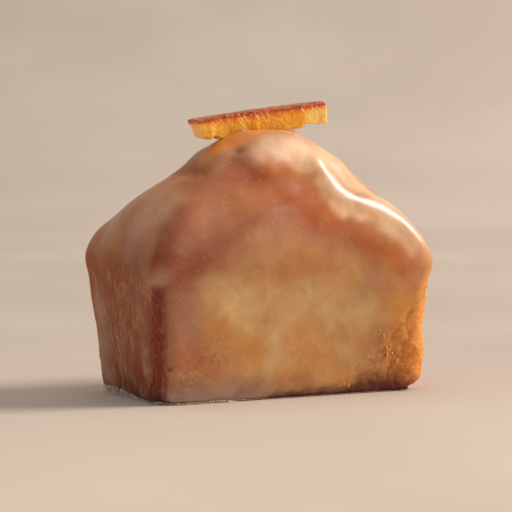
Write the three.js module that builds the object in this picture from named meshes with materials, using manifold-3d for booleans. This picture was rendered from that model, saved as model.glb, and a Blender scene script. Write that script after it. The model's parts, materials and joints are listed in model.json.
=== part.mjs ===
// A small orange loaf cake for one person: baked in a tapered tin, risen high over the tin's
// rim into a rounded crown, with one stick of candied orange peel lying on the crown.
// Millimetres, +Z up, +X along the loaf's long side. The origin is on the surface that the
// cake stands on, under the middle of its outline.

import * as THREE from "three";
import { mergeVertices } from "three/addons/utils/BufferGeometryUtils.js";
import Module from "manifold-3d";

const wasm = await Module();
wasm.setup();

// ---- Driving dimensions ----

// The widest outline, where the tin's rim was.
const RIM_LENGTH = 89.4;
const RIM_WIDTH = 48.6;
const RIM_CORNER_RADIUS = 5.8;
// The cake rose a little higher at its left end than at its right.
const RIM_HEIGHT_LEFT = 37.5;
const RIM_HEIGHT_RIGHT = 35.8;

// The base is this much smaller on every side, by the tin's taper.
const TAPER = 4;
const BASE_EDGE_RADIUS = 3.2;

// The risen top. A fullness of 2 gives it the profile of an ellipse, and more is boxier.
const DOME_RISE = 24.6;
const DOME_FULLNESS = 2.63;
const EXTRA_FULLNESS = 0.35;
const FULLEST_DIRECTION = -85;
const DOME_TOP_EXPONENT = 1.9;

// The crown: a mound where the batter burst up through the top, towards the front.
const CROWN_HEIGHT = 12;
const CROWN_CENTRE = [0.2, -3];
const CROWN_REACH_LEFT = 22;
const CROWN_REACH_RIGHT = 24.6;
const CROWN_REACH_FRONT = 17;
const CROWN_REACH_BACK = 21;
const CROWN_SQUARENESS = 2.7;
const CROWN_FLATNESS = 3;
// The crown fades in over this share of the dome's rise.
const CROWN_FADE = 0.6;

// The hand-baked unevenness of the whole surface: shallow swells, each with its depth, how many
// millimetres it takes to repeat along x, y and z, and where it starts.
const SWELLS = [
  { depth: 0.35, repeat: [46, 38, Infinity], start: 1.1 },
  { depth: 0.21, repeat: [74, Infinity, 33], start: 0 },
  { depth: 0.18, repeat: [Infinity, 27, 56], start: 1.6 },
];
// They fade out from this height down to the flat base.
const SWELL_FADE_HEIGHT = 12;

// The stick of candied peel, and its place on the crown.
const PEEL_LENGTH = 39.2;
const PEEL_WIDTH = 7;
const PEEL_THICKNESS = 6.2;
const PEEL_RIND_BULGE = 0.5;
// The ragged underside: two waves, each with its depth and its count along the stick.
const PEEL_BOTTOM_WAVES = [
  { depth: 0.45, count: 3, slant: 0.4 },
  { depth: 0.27, count: 5, slant: -0.7 },
];
const PEEL_PITCH = 6;
const PEEL_CENTRE = [-0.2, 0, 75.9];
// The peel is seated in the crown, with this much room left between the two solids.
const SEAT_GAP = 0.3;

// How finely the surfaces are divided.
const LONG_SIDE_STEPS = 20;
const SHORT_SIDE_STEPS = 12;
const CORNER_STEPS = 6;
const BASE_EDGE_RINGS = 4;
const WALL_RINGS = 6;
const DOME_RINGS = 22;
const PEEL_SECTION_STEPS = 7;
const PEEL_LENGTH_STEPS = 26;

// ---- Helpers ----

const lerp = THREE.MathUtils.lerp;
const radians = THREE.MathUtils.degToRad;

// A closed solid lofted through rings of equal point counts, with a fan over each end.
function loft(rings, bottomCentre, topCentre) {
  const count = rings[0].length;
  const positions = [...rings.flat(2), ...bottomCentre, ...topCentre];
  const bottom = rings.length * count;
  const top = bottom + 1;
  const index = [];
  for (let r = 0; r + 1 < rings.length; r++) {
    for (let i = 0; i < count; i++) {
      const a = r * count + i;
      const b = r * count + ((i + 1) % count);
      index.push(a, b, b + count, a, b + count, a + count);
    }
  }
  const last = (rings.length - 1) * count;
  for (let i = 0; i < count; i++) {
    const next = (i + 1) % count;
    index.push(bottom, next, i, top, last + i, last + next);
  }
  const geometry = new THREE.BufferGeometry();
  geometry.setAttribute("position", new THREE.Float32BufferAttribute(positions, 3));
  geometry.setIndex(index);
  return geometry;
}

function toManifold(geometry) {
  const merged = mergeVertices(geometry, 1e-4);
  return new wasm.Manifold(
    new wasm.Mesh({
      numProp: 3,
      vertProperties: new Float32Array(merged.attributes.position.array),
      triVerts: new Uint32Array(merged.index.array),
    }),
  );
}

function toGeometry(manifold) {
  const mesh = manifold.getMesh();
  const geometry = new THREE.BufferGeometry();
  geometry.setAttribute("position", new THREE.BufferAttribute(mesh.vertProperties, 3));
  geometry.setIndex(new THREE.BufferAttribute(mesh.triVerts, 1));
  return geometry;
}

// ---- The cake ----

// The rounded rectangle of the rim, counter-clockwise from the middle of the right end's side.
function rimOutline() {
  const a = RIM_LENGTH / 2;
  const b = RIM_WIDTH / 2;
  const r = RIM_CORNER_RADIUS;
  const corners = [
    [a - r, b - r, 0, LONG_SIDE_STEPS],
    [r - a, b - r, 90, SHORT_SIDE_STEPS],
    [r - a, r - b, 180, LONG_SIDE_STEPS],
    [a - r, r - b, 270, SHORT_SIDE_STEPS],
  ];
  const points = [];
  corners.forEach(([x, y, start, sideSteps], k) => {
    const arc = (step) => {
      const angle = radians(start + (90 * step) / CORNER_STEPS);
      return [x + r * Math.cos(angle), y + r * Math.sin(angle)];
    };
    for (let step = 0; step < CORNER_STEPS; step++) points.push(arc(step));
    const [fromX, fromY] = arc(CORNER_STEPS);
    const [nextX, nextY, nextStart] = corners[(k + 1) % 4];
    const toX = nextX + r * Math.cos(radians(nextStart));
    const toY = nextY + r * Math.sin(radians(nextStart));
    for (let step = 0; step < sideSteps; step++) {
      points.push([lerp(fromX, toX, step / sideSteps), lerp(fromY, toY, step / sideSteps)]);
    }
  });
  return points;
}

const RIM = rimOutline();

// The rim's outline drawn in by inset on every side.
function insetRim(inset) {
  const scaleX = 1 - inset / (RIM_LENGTH / 2);
  const scaleY = 1 - inset / (RIM_WIDTH / 2);
  return RIM.map(([x, y]) => [x * scaleX, y * scaleY]);
}

function rimHeight(x) {
  return lerp(RIM_HEIGHT_LEFT, RIM_HEIGHT_RIGHT, x / RIM_LENGTH + 0.5);
}

// How far the swells lift the surface at a place.
function unevenness(x, y, z) {
  const lift = SWELLS.map(({ depth, repeat, start }) => {
    const phase = x / repeat[0] + y / repeat[1] + z / repeat[2];
    return depth * Math.sin(2 * Math.PI * phase + start);
  });
  const total = lift.reduce((sum, one) => sum + one, 0);
  return total * THREE.MathUtils.smoothstep(z, 0, SWELL_FADE_HEIGHT);
}

function uneven([x, y, z]) {
  const reach = Math.hypot(x, y, z - RIM_HEIGHT_RIGHT) || 1;
  const move = unevenness(x, y, z) / reach;
  return [x * (1 + move), y * (1 + move), z + (z - RIM_HEIGHT_RIGHT) * move];
}

function baseRings() {
  const rings = [];
  for (let k = 0; k <= BASE_EDGE_RINGS; k++) {
    const angle = ((Math.PI / 2) * k) / BASE_EDGE_RINGS;
    const inset = TAPER + BASE_EDGE_RADIUS * (1 - Math.sin(angle));
    const z = BASE_EDGE_RADIUS * (1 - Math.cos(angle));
    rings.push(insetRim(inset).map(([x, y]) => [x, y, z]));
  }
  return rings;
}

function wallRings() {
  const rings = [];
  for (let k = 1; k <= WALL_RINGS; k++) {
    const share = k / WALL_RINGS;
    const inset = TAPER * (1 - share);
    rings.push(
      insetRim(inset).map(([x, y]) => [x, y, lerp(BASE_EDGE_RADIUS, rimHeight(x), share)]),
    );
  }
  return rings;
}

// How far the crown stands over the dome at a place.
function crown(x, y) {
  const [centreX, centreY] = CROWN_CENTRE;
  const reachX = x < centreX ? CROWN_REACH_LEFT : CROWN_REACH_RIGHT;
  const reachY = y < centreY ? CROWN_REACH_FRONT : CROWN_REACH_BACK;
  const along = Math.abs(x - centreX) / reachX;
  const across = Math.abs(y - centreY) / reachY;
  const n = CROWN_SQUARENESS;
  const distance = (along ** n + across ** n) ** (1 / n);
  return CROWN_HEIGHT * Math.exp(-(distance ** CROWN_FLATNESS));
}

// One point of the dome. turn runs from 0 at the rim to 1 at the top, and the outline changes
// on the way from the rim's rounded rectangle to a squarish oval.
function domePoint([rimX, rimY], turn) {
  const a = RIM_LENGTH / 2;
  const b = RIM_WIDTH / 2;
  const direction = Math.atan2(rimY / b, rimX / a);
  const facing = Math.max(0, Math.cos(direction - radians(FULLEST_DIRECTION)));
  const fullness = DOME_FULLNESS + EXTRA_FULLNESS * facing ** 2;
  const angle = (Math.PI / 2) * turn;
  const reach = Math.cos(angle) ** (2 / fullness);
  const rise = Math.sin(angle) ** (2 / fullness);

  const n = DOME_TOP_EXPONENT;
  const c = Math.cos(direction);
  const s = Math.sin(direction);
  const oval = (Math.abs(c) ** n + Math.abs(s) ** n) ** (-1 / n);
  const blend = Math.sin(angle);
  const x = lerp(rimX, oval * c * a, blend) * reach;
  const y = lerp(rimY, oval * s * b, blend) * reach;
  const shown = THREE.MathUtils.smoothstep(rise, 0, CROWN_FADE);
  return [x, y, rimHeight(x) + DOME_RISE * rise + crown(x, y) * shown];
}

function domeRings() {
  const rings = [];
  for (let k = 1; k < DOME_RINGS; k++) {
    const turn = k / DOME_RINGS;
    rings.push(RIM.map((point) => domePoint(point, turn)));
  }
  return rings;
}

function cakeGeometry() {
  const rings = [...baseRings(), ...wallRings(), ...domeRings()];
  const top = [0, 0, rimHeight(0) + DOME_RISE + crown(0, 0)];
  return loft(rings.map((ring) => ring.map(uneven)), [0, 0, 0], uneven(top));
}

// ---- The candied peel ----

// How far the ragged underside is off its plane. The slants make its two edges differ.
function bottomWave(x, y) {
  const lift = PEEL_BOTTOM_WAVES.map(({ depth, count, slant }) => {
    return depth * Math.sin(2 * Math.PI * count * (x / PEEL_LENGTH) + slant * y);
  });
  return lift.reduce((sum, one) => sum + one, 0);
}

// One section across the stick: a flat-sided bar with the bulged rind on top.
function peelSection(x) {
  const points = [];
  const half = PEEL_WIDTH / 2;
  for (let k = 0; k <= PEEL_SECTION_STEPS; k++) {
    const y = lerp(half, -half, k / PEEL_SECTION_STEPS);
    const bulge = PEEL_RIND_BULGE * (1 - (y / half) ** 2);
    points.push([x, y, PEEL_THICKNESS / 2 + bulge]);
  }
  for (let k = 0; k <= PEEL_SECTION_STEPS; k++) {
    const y = lerp(-half, half, k / PEEL_SECTION_STEPS);
    points.push([x, y, -PEEL_THICKNESS / 2 + bottomWave(x, y)]);
  }
  return points;
}

function peelGeometry() {
  const rings = [];
  for (let k = 0; k <= PEEL_LENGTH_STEPS; k++) {
    rings.push(peelSection(lerp(-PEEL_LENGTH / 2, PEEL_LENGTH / 2, k / PEEL_LENGTH_STEPS)));
  }
  return loft(rings, [-PEEL_LENGTH / 2, 0, 0], [PEEL_LENGTH / 2, 0, 0]);
}

// ---- The assembly ----

const cakeMaterial = new THREE.MeshStandardMaterial({
  color: new THREE.Color(0.72, 0.46, 0.24),
  roughness: 0.35,
  metalness: 0,
});
const peelMaterial = new THREE.MeshStandardMaterial({
  color: new THREE.Color(0.88, 0.52, 0.12),
  roughness: 0.25,
  metalness: 0,
});

const cakeSolid = toManifold(cakeGeometry());
// The tilted stick with the crown's shape cut out of its underside.
const peelPlace = new THREE.Matrix4()
  .makeRotationY(-radians(PEEL_PITCH))
  .setPosition(...PEEL_CENTRE);
const peelSolid = toManifold(peelGeometry().applyMatrix4(peelPlace)).subtract(
  cakeSolid.translate([0, 0, SEAT_GAP]),
);

const cake = new THREE.Mesh(toGeometry(cakeSolid), cakeMaterial);
cake.name = "cake";

const peel = new THREE.Mesh(toGeometry(peelSolid), peelMaterial);
peel.name = "candied_peel";

const orangeCake = new THREE.Group();
orangeCake.add(cake, peel);

// The outline is uneven, so the whole is centred over the origin once it is made.
const box = new THREE.Box3().setFromObject(orangeCake);
const middle = box.getCenter(new THREE.Vector3());
orangeCake.position.set(-middle.x, -middle.y, -box.min.z);

export default orangeCake;
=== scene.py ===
# %% [markdown]
# # A small glazed orange cake
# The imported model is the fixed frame: the loaf and its stick of candied peel stand where they
# will stand in the library. Everything below is built around it, in metres, with +Z up.

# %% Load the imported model
import json
import math
import bpy
import numpy as np
from mathutils import Matrix, Vector

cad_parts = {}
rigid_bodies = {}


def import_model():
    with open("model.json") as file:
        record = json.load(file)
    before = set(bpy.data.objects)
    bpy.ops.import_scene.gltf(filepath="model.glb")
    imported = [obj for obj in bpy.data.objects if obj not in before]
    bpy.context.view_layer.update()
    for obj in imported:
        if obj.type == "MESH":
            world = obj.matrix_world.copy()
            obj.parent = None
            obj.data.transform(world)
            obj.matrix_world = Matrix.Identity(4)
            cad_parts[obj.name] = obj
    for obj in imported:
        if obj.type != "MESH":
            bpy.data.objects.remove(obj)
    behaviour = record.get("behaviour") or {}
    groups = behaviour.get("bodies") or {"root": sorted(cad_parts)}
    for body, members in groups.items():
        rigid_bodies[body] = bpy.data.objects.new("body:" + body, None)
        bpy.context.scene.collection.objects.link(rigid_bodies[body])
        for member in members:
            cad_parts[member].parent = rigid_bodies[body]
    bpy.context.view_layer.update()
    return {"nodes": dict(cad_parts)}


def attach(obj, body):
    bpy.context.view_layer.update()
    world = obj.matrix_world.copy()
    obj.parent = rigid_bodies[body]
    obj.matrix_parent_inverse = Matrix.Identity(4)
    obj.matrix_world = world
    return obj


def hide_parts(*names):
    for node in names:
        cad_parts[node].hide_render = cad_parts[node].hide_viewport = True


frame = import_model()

MM = 0.001

# %% [markdown]
# ## The camera
# A long lens from a little above the table, turned 28 degrees towards the left end of the loaf.
# The lens could be wide and close, but a long one keeps the upright sides nearly parallel, as a
# food photographer does. Its direction, lens and aim were fitted to the outline of the loaf in
# the photo.

# %% Place the camera
AZIMUTH = math.radians(-27.96)
ELEVATION = math.radians(4.185)
DISTANCE = 700 * MM
LENS = 174.4
SENSOR = 36
AIM_RIGHT, AIM_UP = -1.146 * MM, 3.05 * MM
MIDDLE_HEIGHT = 35 * MM
back = Vector((math.sin(AZIMUTH) * math.cos(ELEVATION),
               -math.cos(AZIMUTH) * math.cos(ELEVATION),
               math.sin(ELEVATION)))
right = Vector((math.cos(AZIMUTH), math.sin(AZIMUTH), 0))
up = back.cross(right)
middle = Vector((0, 0, MIDDLE_HEIGHT))
aim = middle + AIM_RIGHT * right + AIM_UP * up

bpy.ops.object.camera_add(location=middle + DISTANCE * back)
camera = bpy.context.object
camera.name = "camera"
camera.data.lens = LENS
camera.data.sensor_width = SENSOR
camera.data.clip_start = 0.01
camera.rotation_euler = (aim - camera.location).to_track_quat("-Z", "Y").to_euler()
bpy.context.scene.camera = camera
bpy.context.scene.view_settings.view_transform = "Standard"
print("camera stands at", [round(value, 3) for value in camera.location])

# %% [markdown]
# ## Lights and backdrop
# One warm lamp from the right and a little behind gives the sharp line along the shoulder of the
# glaze and the shadow that falls to the left. More lamps could fill the dark side, but each adds
# a spot on the glaze. So only a weak one hangs overhead, hidden from reflections, and a pale room
# all round does the rest. The backdrop is one sheet that bends up behind the table, so no edge
# shows.

# %% Key lamp, weaker lamp and room light
def add_lamp(name, towards, distance, width, height, watts, colour):
    """A flat lamp in a given direction from the loaf, turned to face it."""
    direction = Vector(towards).normalized()
    bpy.ops.object.light_add(type="AREA", location=middle + direction * distance)
    lamp = bpy.context.object
    lamp.name = name
    lamp.data.shape = "RECTANGLE"
    lamp.data.size = width
    lamp.data.size_y = height
    lamp.data.energy = watts
    lamp.data.color = colour
    lamp.rotation_euler = direction.to_track_quat("Z", "Y").to_euler()
    lamp.visible_camera = False
    return lamp


ROOM_STRENGTH = 0.2
add_lamp("key_lamp", towards=(0.753, -0.266, 0.602), distance=2.5, width=0.95, height=0.95,
         watts=67.0, colour=(1.0, 0.93, 0.84))
overhead = add_lamp("overhead_box", towards=(-0.15, 0.1, 1.0), distance=1.5, width=1.8, height=1.8,
                    watts=10.0, colour=(1.0, 0.97, 0.94))
overhead.visible_glossy = False
world = bpy.data.worlds.new("room")
world.use_nodes = True
bpy.context.scene.world = world
room = world.node_tree.nodes["Background"]
room.inputs["Color"].default_value = (1.0, 0.965, 0.93, 1)
room.inputs["Strength"].default_value = ROOM_STRENGTH

# %% Bend a sheet up behind the table
def pick(obj):
    """Leaves this object alone selected and active."""
    if bpy.context.object and bpy.context.object.mode == "EDIT":
        bpy.ops.object.mode_set(mode="OBJECT")
    bpy.ops.object.select_all(action="DESELECT")
    obj.select_set(True)
    bpy.context.view_layer.objects.active = obj


def deselect_mesh(obj, kind):
    """Leaves nothing of a mesh selected, ready to select vertices or edges one by one."""
    pick(obj)
    bpy.ops.object.mode_set(mode="EDIT")
    bpy.ops.mesh.select_mode(type=kind)
    bpy.ops.mesh.select_all(action="DESELECT")
    bpy.ops.object.mode_set(mode="OBJECT")


def select_edges(obj, wanted):
    """Enters edit mode with only those edges selected whose two ends pass the test."""
    deselect_mesh(obj, "EDGE")
    for edge in obj.data.edges:
        edge.select = all(wanted(obj.data.vertices[i].co) for i in edge.vertices)
    bpy.ops.object.mode_set(mode="EDIT")


TABLE_WIDTH = 3.2
WALL_DISTANCE = 1.8
WALL_HEIGHT = 1.6
BEND_RADIUS = 1.0
BEND_STEPS = 40
bpy.ops.object.select_all(action="DESELECT")
bpy.ops.mesh.primitive_plane_add(size=TABLE_WIDTH)
backdrop = bpy.context.object
backdrop.name = "backdrop"
select_edges(backdrop, lambda end: end.y > 0)
bpy.ops.transform.translate(value=(0, WALL_DISTANCE - TABLE_WIDTH / 2, 0))
bpy.ops.mesh.extrude_region_move(TRANSFORM_OT_translate={"value": (0, 0, WALL_HEIGHT)})
select_edges(backdrop, lambda end: end.y > 1 and end.z < 0.01)
bpy.ops.mesh.bevel(offset=BEND_RADIUS, segments=BEND_STEPS, affect="EDGES")
bpy.ops.object.mode_set(mode="OBJECT")
bpy.ops.object.shade_smooth()
backdrop.data.transform(Matrix.Rotation(AZIMUTH, 4, "Z"))
print("backdrop:", len(backdrop.data.polygons), "faces")

# %% [markdown]
# ## Tools for shaping
# Cake and glaze are soft forms with no straight line, so they are shaped as with a sculpting
# brush: a stroke along a path lifts or presses the surface near it. Random swells come from a
# lattice of random numbers with a fixed seed, so each run gives the same cake.

# %% Points, modifiers and smoothing
def apply_modifier(obj, kind, **settings):
    """Adds a modifier, sets it and applies it at once."""
    pick(obj)
    modifier = obj.modifiers.new(kind.lower(), kind)
    for name, value in settings.items():
        setattr(modifier, name, value)
    bpy.ops.object.modifier_apply(modifier=modifier.name)


def read_points(obj):
    """The places of all vertices, in mm."""
    points = np.empty(len(obj.data.vertices) * 3)
    obj.data.vertices.foreach_get("co", points)
    return points.reshape(-1, 3) / MM


def read_normals(obj):
    """The outward direction at each vertex."""
    normals = np.empty(len(obj.data.vertices) * 3, dtype=np.float32)
    obj.data.vertex_normals.foreach_get("vector", normals)
    return normals.reshape(-1, 3).astype(float)


def write_points(obj, points):
    """Puts all vertices at new places, given in mm."""
    obj.data.vertices.foreach_set("co", (points * MM).ravel())
    obj.data.update()


def copy_mesh(obj, name):
    """A second object with a mesh of its own."""
    twin = obj.copy()
    twin.data = obj.data.copy()
    twin.name = name
    twin.data.name = name
    bpy.context.scene.collection.objects.link(twin)
    return twin


# %% Swells, strokes and ramps
def step(value, low, high):
    """Rises smoothly from 0 at low to 1 at high."""
    t = np.clip((value - low) / (high - low), 0, 1)
    return t * t * (3 - 2 * t)


def swells(points, size, seed):
    """Soft random swells between -1 and 1; size is their spacing in mm, one number or three."""
    table = np.random.default_rng(seed).uniform(-1, 1, (32, 32, 32))
    lattice = points / np.array(size, dtype=float) + 100.37
    cell = np.floor(lattice).astype(int)
    t = lattice - cell
    t = t * t * (3 - 2 * t)
    total = np.zeros(len(points))
    for corner in np.ndindex(2, 2, 2):
        share = np.prod(np.where(corner, t, 1 - t), axis=1)
        i, j, k = ((cell + corner) % 32).T
        total += share * table[i, j, k]
    return total


def distance_to_path(points, path):
    """How far each point lies from a chain of straight pieces, in mm."""
    nearest = np.full(len(points), 1e6)
    if len(path) == 1:
        return np.linalg.norm(points - np.array(path[0], float), axis=1)
    for start, end in zip(path, path[1:]):
        start = np.array(start, float)
        along = np.array(end, float) - start
        t = np.clip((points - start) @ along / (along @ along), 0, 1)
        gap = np.linalg.norm(points - start - t[:, None] * along, axis=1)
        nearest = np.minimum(nearest, gap)
    return nearest


def near_path(points, path, radius):
    """1 on the path, falling smoothly to 0 at the radius."""
    return step(-distance_to_path(points, path), -radius, 0)


# %% [markdown]
# ## The form of the loaf
# The tin gives the loaf flat tapered sides; above the rim the dough rose into a dome with a
# mound on top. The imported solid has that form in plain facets. A fresh skin of small even faces
# over it takes the strokes that make it a real cake: the fold where the dome leaves the front,
# the rolled shoulder on the right, the kink at the left foot of the mound and a few dimples.

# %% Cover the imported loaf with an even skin
FORM_STEP = 0.72
form = copy_mesh(frame["nodes"]["cake"], "loaf_form")
form.parent = None
pick(form)
bpy.ops.object.mode_set(mode="EDIT")
bpy.ops.mesh.select_all(action="SELECT")
bpy.ops.mesh.remove_doubles(threshold=0.00001)
bpy.ops.object.mode_set(mode="OBJECT")
apply_modifier(form, "REMESH", mode="VOXEL", voxel_size=FORM_STEP * MM)
apply_modifier(form, "SMOOTH", factor=0.5, iterations=14)
print("skin:", len(form.data.polygons), "faces")

# %% Find the fold and the shoulder from pixels marked in the photo
FOLD_MARKS = [(292, 202), (252, 216), (215, 240), (182, 265), (153, 285)]
SHOULDER_MARKS = [(335, 190), (347, 198), (360, 202), (380, 208), (400, 220), (415, 235),
                  (425, 248), (431, 260)]
PHOTO_MIDDLE_U, PHOTO_MIDDLE_V = 260.06, 266.8
PHOTO_LENS = 2481


def on_loaf(mark):
    """The place, in mm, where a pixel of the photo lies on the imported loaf."""
    u, v = mark
    ray = (u - PHOTO_MIDDLE_U) / PHOTO_LENS * right - (v - PHOTO_MIDDLE_V) / PHOTO_LENS * up - back
    place = frame["nodes"]["cake"].ray_cast(camera.location, ray.normalized())[1]
    return tuple(round(value / MM, 1) for value in place)


FOLD = [(4, -21.6, 56.5)] + [on_loaf(mark) for mark in FOLD_MARKS]
SHOULDER = [(9.4, -15.8, 64.8), (10.8, -17.6, 61.8)] + [on_loaf(mark) for mark in SHOULDER_MARKS]
print("fold, mm:", FOLD)
print("shoulder, mm:", SHOULDER)

# %% Strokes over the skin
UNDER_SHOULDER = [(8.5, -21.4, 55.0), (13.5, -22.6, 50.0), (22.0, -22.8, 47.2),
                  (31.0, -23.4, 42.5), (37.0, -24.2, 37.0)]
STROKES = [
    # name, path, radius, lift
    ("fold", FOLD, 1.4, -0.12),
    ("roll above the fold", [(x, y + 0.6, z + 2.4) for x, y, z in FOLD[:5]], 3.6, 0.14),
    ("shoulder", SHOULDER, 4.2, 0.6),
    ("top of the shoulder", [(9.2, -17.4, 62.6), (12.2, -20.2, 57.2)], 6.5, 0.55),
    ("slope behind the shoulder", [(15.5, -14.8, 62.8), (17.8, -15.5, 61.0), (21.0, -16.5, 58.5)],
     6.0, -0.75),
    ("roll of the crown", [(-4.0, -10.0, 71.5), (2.0, -10.5, 71.5)], 8.0, 0.6),
    ("front of the crown", [(6.5, -15.2, 66.6), (8.5, -16.4, 64.6)], 5.5, 0.3),
    ("hollow under the shoulder", UNDER_SHOULDER, 5.5, -0.25),
    ("left foot of the mound", [(-17.6, -8, 67.6), (-17.6, 8, 67.6)], 5.5, 0.7),
    ("seat of the peel", [(-14, -3, 70.0), (-8, -3.5, 72.0)], 5.0, 1.0),
    ("bridge to the peel", [(9.0, -2.6, 73.0)], 2.6, 0.8),
    ("pocket beside the mound", [(-24.0, -8, 62.4), (-23.6, 4, 62.8)], 5.0, -0.6),
    ("left slope", [(-24, 8, 61), (-30, 7, 58), (-36, 8, 54)], 8.0, 0.15),
    ("right slope of the mound", [(12.5, -7, 70.0), (16.0, -8, 67.5)], 8.0, -1.1),
    ("right slope under it", [(24.0, -12, 60.5), (28.0, -13, 57.5)], 8.0, -1.4),
    ("large dimple", [(-14.5, -13.5, 65.4), (-12.0, -17.0, 62.0)], 6.0, -0.5),
    ("small dimple", [(-12.8, -10.7, 68.3)], 2.4, -0.35),
    ("left rim", [(-44.5, -8, 42.0), (-44.0, 8, 42.0), (-43.5, 14, 41.5)], 9.0, 0.5),
    ("far left corner", [(-40.0, 17, 0.0), (-41.0, 17.5, 10.0)], 10.0, 1.1),
    ("far left corner, higher up", [(-42.0, 18.5, 18.0), (-43.0, 19.5, 30.0)], 8.0, 0.5),
    ("far left shoulder", [(-42.8, 17.5, 43.0), (-43.5, 18.5, 40.0)], 9.5, 1.3),
    ("right corner", [(39.3, -18.5, 0.0), (41.0, -21.0, 14.0)], 8.0, 0.9),
    ("right foot", [(39.8, -19.0, 5.0), (40.2, -19.5, 10.0)], 8.0, 1.5),
    ("left pit on the front", [(-17.8, -23.8, 32.8)], 1.5, -0.3),
    ("right pit on the front", [(3.5, -23.2, 30.8)], 1.5, -0.3),
]
FOOT_HEIGHT = 2.6
FOOT_FLARE = 1.1
WORN_CORNERS = [
    # place, radius, how far it is worn back
    ((41.5, -20.5, -0.5), 8.0, 8.5),
    ((-41.5, 20.5, -0.5), 11.0, 3.6),
]
SWELL_HEIGHT = 0.16
SWELL_SIZE = 9
LOWEST = 0.02


def stroke_all(obj, strokes):
    """Moves the surface out or in along its normals, near each path."""
    points = read_points(obj)
    normals = read_normals(obj)
    lift = sum(height * near_path(points, path, radius) for _, path, radius, height in strokes)
    lift = lift + SWELL_HEIGHT * swells(points, SWELL_SIZE, 11) * step(points[:, 2], 2, 8)
    points = points + normals * lift[:, None]
    write_points(obj, points)


def sharpen_foot(obj):
    """Brings the smoothed lower edge back out, and rounds the two corners that are worn."""
    points = read_points(obj)
    level = read_normals(obj) * (1, 1, 0)
    level = level / np.maximum(np.linalg.norm(level, axis=1), 0.3)[:, None]
    low = np.clip(1 - points[:, 2] / FOOT_HEIGHT, 0, 1)
    move = FOOT_FLARE * low ** 2
    for place, radius, depth in WORN_CORNERS:
        worn = near_path(points, [place], radius)
        move = move * (1 - worn) - depth * worn * low ** 1.6
    points = points + level * move[:, None]
    z = points[:, 2]
    points[:, 2] = np.maximum(np.where(z < 0.7, z - 0.6, z), LOWEST)
    write_points(obj, points)


stroke_all(form, STROKES)
apply_modifier(form, "SMOOTH", factor=0.5, iterations=3)
sharpen_foot(form)
form_points = read_points(form)
print("strokes:", len(STROKES), "box, mm:", form_points.min(0).round(2), form_points.max(0).round(2))

# %% [markdown]
# ## Where the glaze is missing
# The glaze slid off the sharp front left corner and never reached the low right corner, so the
# crust shows there, darker and rough. The same happened at the two back corners and under the
# loaf. One function says how deep inside such a bare patch a point lies.

# %% Depth inside a bare patch
STRIP_TOP = 31.5
CORNER_STRIPS = [
    # foot of the line, top of the line, half width at each, side that is ragged
    ((-39.6, -15.6, 1.4), (-42.2, -21.2, 31.0), 1.8, 1.2, (0.7, -0.7)),
    ((-39.4, 17.6, 1.4), (-41.8, 21.9, 31.0), 1.4, 1.0, (0.7, 0.7)),
    ((39.4, 17.6, 1.4), (41.8, 21.9, 31.0), 2.2, 1.5, (-0.7, 0.7)),
]
EDGE_HEIGHTS = (-1, 4, 10, 16, 18.8, 23, 25.7, 30.5, 33)
EDGE_PLACES = (30.5, 30.0, 31.5, 31.5, 34.5, 36.5, 40.0, 41.5, 46)
BARE_BACK = -14
BARE_TOP = 29
BARE_FOOT_PLACES = (-46, -10, -6, 18, 23, 32, 36, 46)
BARE_FOOT_HEIGHTS = (-3, -3, 0.9, 1.4, 3.6, 4.4, 3.0, 2.0)


def bare_depth(points, normals):
    """How deep each point lies inside a bare patch, in mm; below zero it is glazed."""
    x, y, z = points.T
    ragged = 0.8 * swells(points, 2.6, 21) + 0.5 * swells(points, 1.1, 22)
    depth = np.where(normals[:, 2] < -0.8, 1.5 - z, -9.0)
    for foot, top, foot_half, top_half, side in CORNER_STRIPS:
        t = (z - foot[2]) / (top[2] - foot[2])
        half_width = foot_half + (top_half - foot_half) * np.clip(t, 0, 1)
        across = (x - foot[0] - t * (top[0] - foot[0])) * side[0]
        across = across + (y - foot[1] - t * (top[1] - foot[1])) * side[1]
        strip = np.minimum(half_width + across + 0.15 * ragged, half_width - across + 0.8 * ragged)
        near = np.hypot(x - foot[0], y - foot[1]) < 9
        strip = np.where(near, np.minimum(strip, STRIP_TOP - z + 0.5 * ragged), -9.0)
        depth = np.maximum(depth, strip)
    edge = x - np.interp(z, EDGE_HEIGHTS, EDGE_PLACES) + ragged
    around = BARE_BACK + 4 * swells(points, 8, 23) - y + ragged
    below = BARE_TOP + 3 * swells(points, 6, 24) - z
    depth = np.maximum(depth, np.minimum(np.minimum(edge, around), below))
    foot_line = np.interp(x, BARE_FOOT_PLACES, BARE_FOOT_HEIGHTS) - z + 0.8 * ragged
    return np.maximum(depth, foot_line)


# %% [markdown]
# ## The crumb and crust
# Under the glaze sits the loaf itself, a fine crumb with a thin browned crust. It could be left
# smooth where glaze covers it, but the bare patches need real pores, so the whole loaf gets
# small pits and grains as geometry. It is drawn in by the thickness of the glaze.

# %% Build the crumb
GLAZE_DEPTH = 0.45
CRUMB_STEP = 0.58
CRUST_RISE = 0.3
PIT_DEPTH = 0.34
GRAIN_HEIGHT = 0.25
body = copy_mesh(form, "cake_body")
apply_modifier(body, "REMESH", mode="VOXEL", voxel_size=CRUMB_STEP * MM)
apply_modifier(body, "SMOOTH", factor=0.5, iterations=3)
body_points = read_points(body)
body_normals = read_normals(body)
pits = np.minimum(swells(body_points, 1.5, 31), 0.15)
pits = pits + 0.7 * np.minimum(swells(body_points, 0.9, 32), 0.2)
grain = 0.5 * swells(body_points, 3.1, 33)
bare = step(bare_depth(body_points, body_normals), -1.5, 0.5)
body_lift = -GLAZE_DEPTH + bare * (CRUST_RISE + PIT_DEPTH * pits + GRAIN_HEIGHT * grain)
body_points = body_points + body_normals * body_lift[:, None]
body_points[:, 2] = np.maximum(body_points[:, 2], LOWEST)
write_points(body, body_points)
pick(body)
bpy.ops.object.shade_smooth()
print("cake_body:", len(body.data.polygons), "faces")

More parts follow.
